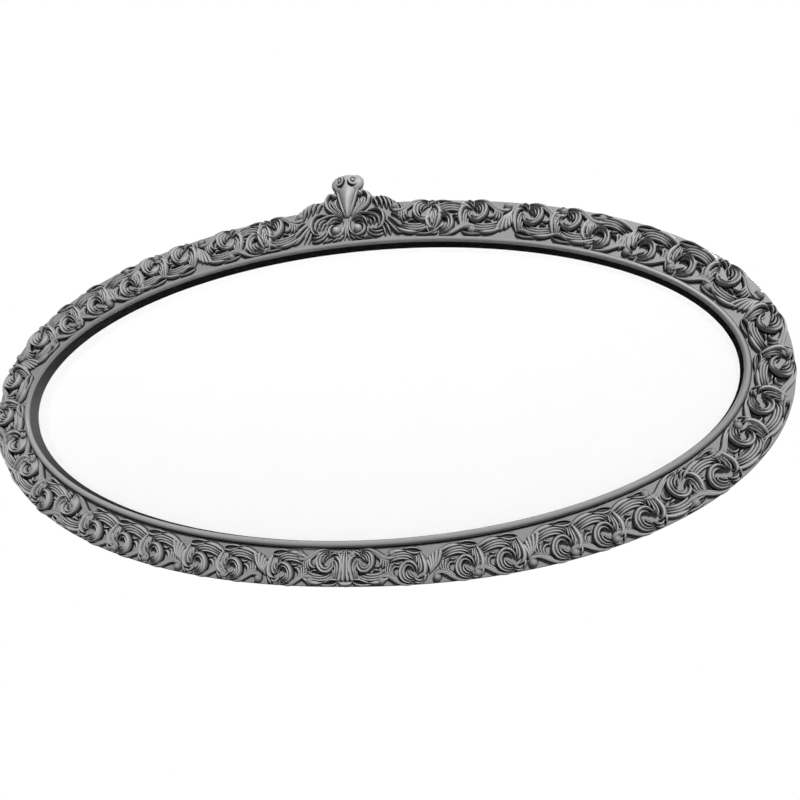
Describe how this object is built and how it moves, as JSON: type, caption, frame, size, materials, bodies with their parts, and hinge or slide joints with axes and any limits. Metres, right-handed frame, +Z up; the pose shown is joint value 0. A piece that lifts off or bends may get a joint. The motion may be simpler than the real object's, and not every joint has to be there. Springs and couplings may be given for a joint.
{
  "type": "oval picture frame",
  "caption": "Wide oval wall picture frame with a raised sight bead, carved acanthus scrolls round the band and a carved crest, glazed and backed.",
  "frame": {"origin": "centre of the oval on the wall plane, level with the outer faces of the wall bumpers", "axes": "+Z up, +X to the right seen from the front, front of the frame faces -Y, wall at y = 0"},
  "size_m": [0.8376, 0.032, 0.434],
  "materials": {
    "carved_paint": "satin mid-grey paint over carved wood",
    "band_paint": "satin mid-grey paint over wood",
    "bare_beech": "bare beech",
    "clear_glass": "clear picture glass",
    "white_card": "matt white blank card",
    "hardboard": "brown hardboard",
    "button_steel": "zinc-plated steel",
    "screw_brass": "brassed steel",
    "hanger_steel": "nickel-plated steel",
    "bumper_rubber": "black rubber"
  },
  "bodies": {
    "frame": {"backing_board": "hardboard", "carcass_bottom": "band_paint", "carcass_left": "band_paint", "carcass_right": "band_paint", "carcass_top": "band_paint", "carving_left_01": "carved_paint", "carving_left_02": "carved_paint", "carving_left_03": "carved_paint", "carving_left_04": "carved_paint", "carving_left_05": "carved_paint", "carving_left_06": "carved_paint", "carving_left_07": "carved_paint", "carving_left_08": "carved_paint", "carving_left_09": "carved_paint", "carving_left_10": "carved_paint", "carving_left_11": "carved_paint", "carving_left_12": "carved_paint", "carving_left_13": "carved_paint", "carving_left_14": "carved_paint", "carving_right_01": "carved_paint", "carving_right_02": "carved_paint", "carving_right_03": "carved_paint", "carving_right_04": "carved_paint", "carving_right_05": "carved_paint", "carving_right_06": "carved_paint", "carving_right_07": "carved_paint", "carving_right_08": "carved_paint", "carving_right_09": "carved_paint", "carving_right_10": "carved_paint", "carving_right_11": "carved_paint", "carving_right_12": "carved_paint", "carving_right_13": "carved_paint", "carving_right_14": "carved_paint", "crest_board": "band_paint", "crest_carving": "carved_paint", "crest_dowels": "bare_beech", "glass": "clear_glass", "hanger_screws": "screw_brass", "hanger_straps": "hanger_steel", "joint_tongues": "bare_beech", "lower_calyx": "carved_paint", "picture_card": "white_card", "sight_moulding": "band_paint", "turn_button_screws": "screw_brass", "wall_bumpers": "bumper_rubber"},
    "hanger_ring_left": {"hanger_ring_left": "hanger_steel"},
    "hanger_ring_right": {"hanger_ring_right": "hanger_steel"},
    "turn_button_1": {"turn_button_1": "button_steel"},
    "turn_button_2": {"turn_button_2": "button_steel"},
    "turn_button_3": {"turn_button_3": "button_steel"},
    "turn_button_4": {"turn_button_4": "button_steel"},
    "turn_button_5": {"turn_button_5": "button_steel"},
    "turn_button_6": {"turn_button_6": "button_steel"},
    "turn_button_7": {"turn_button_7": "button_steel"},
    "turn_button_8": {"turn_button_8": "button_steel"}
  },
  "joints": [
    {"name": "turn_button_1_swivel", "type": "hinge", "parent": "frame", "child": "turn_button_1", "pos_m": [0.11706, -0.006, 0.16298], "axis": [0, 1, 0], "continuous": true},
    {"name": "turn_button_2_swivel", "type": "hinge", "parent": "frame", "child": "turn_button_2", "pos_m": [0.33574, -0.006, 0.0898], "axis": [0, 1, 0], "continuous": true},
    {"name": "turn_button_3_swivel", "type": "hinge", "parent": "frame", "child": "turn_button_3", "pos_m": [0.33574, -0.006, -0.0898], "axis": [0, 1, 0], "continuous": true},
    {"name": "turn_button_4_swivel", "type": "hinge", "parent": "frame", "child": "turn_button_4", "pos_m": [0.11706, -0.006, -0.16298], "axis": [0, 1, 0], "continuous": true},
    {"name": "turn_button_5_swivel", "type": "hinge", "parent": "frame", "child": "turn_button_5", "pos_m": [-0.11706, -0.006, -0.16298], "axis": [0, 1, 0], "continuous": true},
    {"name": "turn_button_6_swivel", "type": "hinge", "parent": "frame", "child": "turn_button_6", "pos_m": [-0.33574, -0.006, -0.0898], "axis": [0, 1, 0], "continuous": true},
    {"name": "turn_button_7_swivel", "type": "hinge", "parent": "frame", "child": "turn_button_7", "pos_m": [-0.33574, -0.006, 0.0898], "axis": [0, 1, 0], "continuous": true},
    {"name": "turn_button_8_swivel", "type": "hinge", "parent": "frame", "child": "turn_button_8", "pos_m": [-0.11706, -0.006, 0.16298], "axis": [0, 1, 0], "continuous": true},
    {"name": "hanger_ring_left_swing", "type": "hinge", "parent": "frame", "child": "hanger_ring_left", "pos_m": [-0.2094, -0.00345, 0.16828], "axis": [1, 0, 0], "range_deg": [0, 180]},
    {"name": "hanger_ring_right_swing", "type": "hinge", "parent": "frame", "child": "hanger_ring_right", "pos_m": [0.2094, -0.00345, 0.16828], "axis": [1, 0, 0], "range_deg": [0, 180]}
  ]
}
